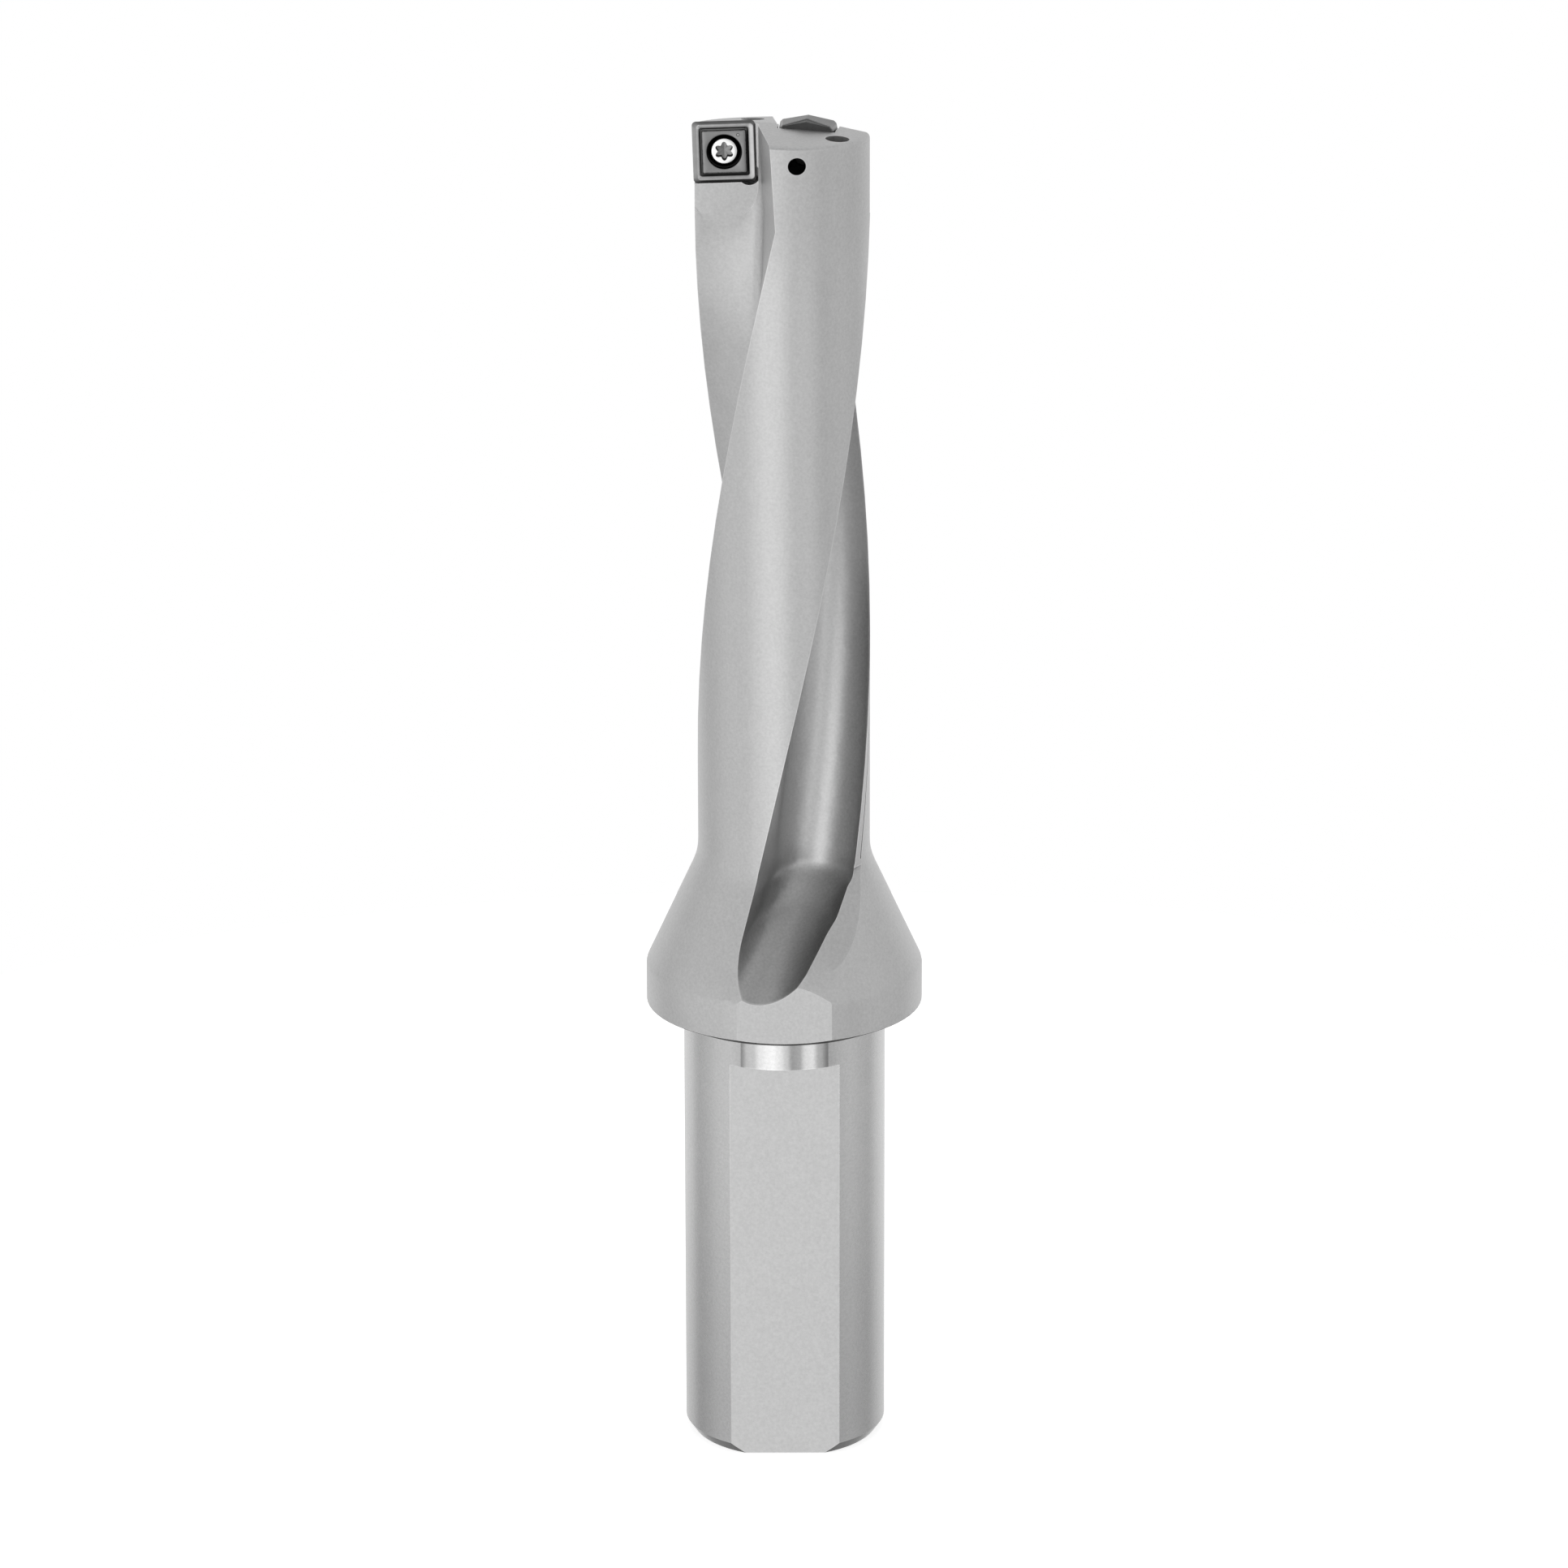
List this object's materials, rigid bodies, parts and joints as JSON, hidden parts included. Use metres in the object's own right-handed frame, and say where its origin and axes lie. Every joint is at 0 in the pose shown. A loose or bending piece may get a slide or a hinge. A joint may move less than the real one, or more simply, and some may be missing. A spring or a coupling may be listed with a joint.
{
  "type": "indexable drill",
  "caption": "Straight-fluted-head drill holder with twisted flutes, cone, flange and a round shank with a clamping flat; square and roof-edged carbide inserts held by star-socket screws.",
  "frame": {"origin": "centre of the shank's end face", "axes": "+Z along the drill's axis from the shank to the tip, -Y out of the clamping flat of the shank and out of the outer insert's rake face, +X to the right when the flat is seen from the front"},
  "size_m": [0.0342, 0.0332, 0.1697],
  "materials": {
    "body_steel": "satin nickel-plated tool steel, shank ground",
    "outer_carbide": "coated carbide, satin dark grey",
    "inner_carbide": "coated carbide, satin dark grey",
    "screw_steel": "bright steel"
  },
  "bodies": {
    "root": {"drill_body": "body_steel", "outer_insert": "outer_carbide", "inner_insert": "inner_carbide", "outer_insert_screw": "screw_steel", "inner_insert_screw": "screw_steel"}
  },
  "joints": []
}
